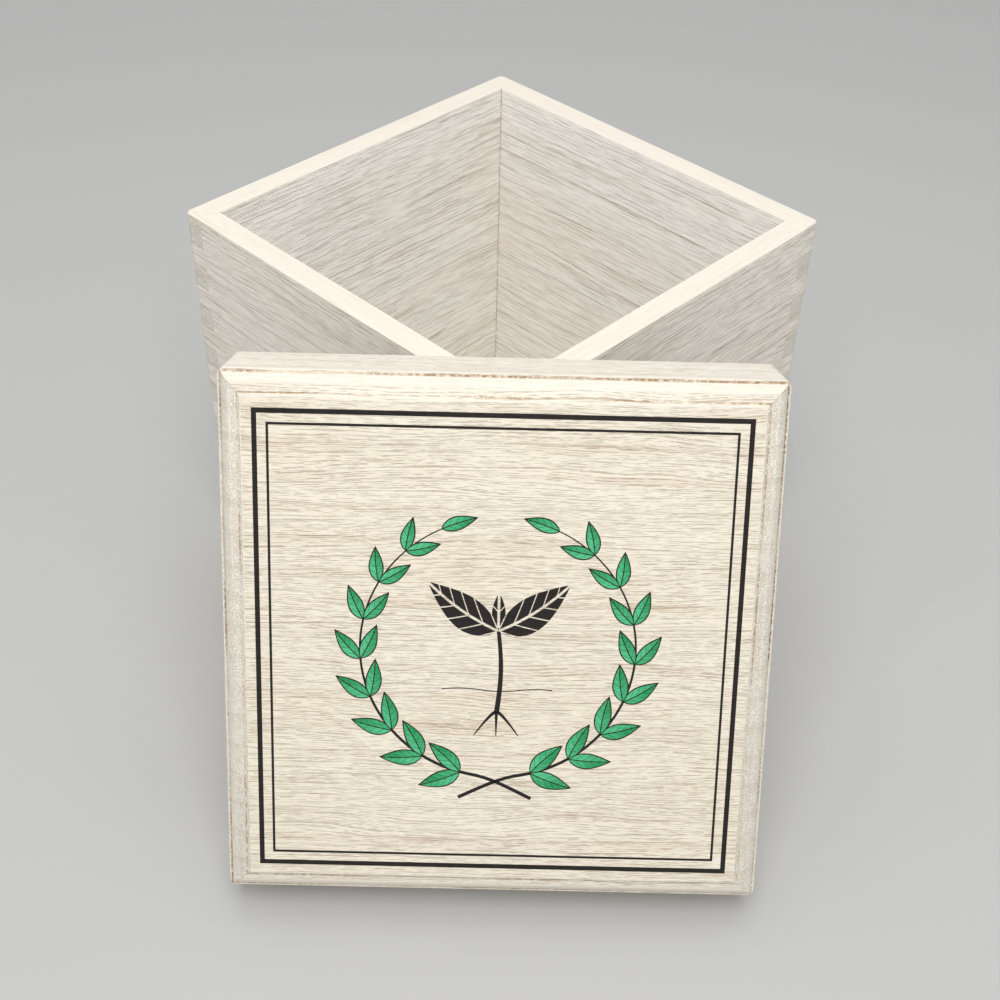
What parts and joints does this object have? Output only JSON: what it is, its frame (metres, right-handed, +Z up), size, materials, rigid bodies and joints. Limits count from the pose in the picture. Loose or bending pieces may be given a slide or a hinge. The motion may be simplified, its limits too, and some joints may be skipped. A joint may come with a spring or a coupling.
{
  "type": "seed organizer box",
  "caption": "Square whitewashed wooden box for seed packets, finger-jointed at its corners, with a moulded lift-off lid leaning on one corner.",
  "frame": {"origin": "centre of the box's underside, on the table", "axes": "+Z up; X and Y square to the walls; the lid leans on the corner in the -X -Y direction"},
  "size_m": [0.3067, 0.3058, 0.1831],
  "materials": {
    "whitewashed_walls": "whitewashed, wire-brushed",
    "bottom": "whitewashed",
    "lid_sides": "whitewashed, sanded",
    "printed_top": "whitewashed, sanded, printed"
  },
  "bodies": {
    "box": {"front_wall": "whitewashed_walls", "right_wall": "whitewashed_walls", "back_wall": "whitewashed_walls", "left_wall": "whitewashed_walls", "bottom_board": "bottom"},
    "lid": {"lid_front_side": "lid_sides", "lid_right_side": "lid_sides", "lid_back_side": "lid_sides", "lid_left_side": "lid_sides", "lid_top": "printed_top"}
  },
  "joints": [
    {"name": "lid_lift", "type": "slide", "parent": "box", "child": "lid", "axis": [0, 0, 1], "range_m": [0, 0.16]}
  ]
}
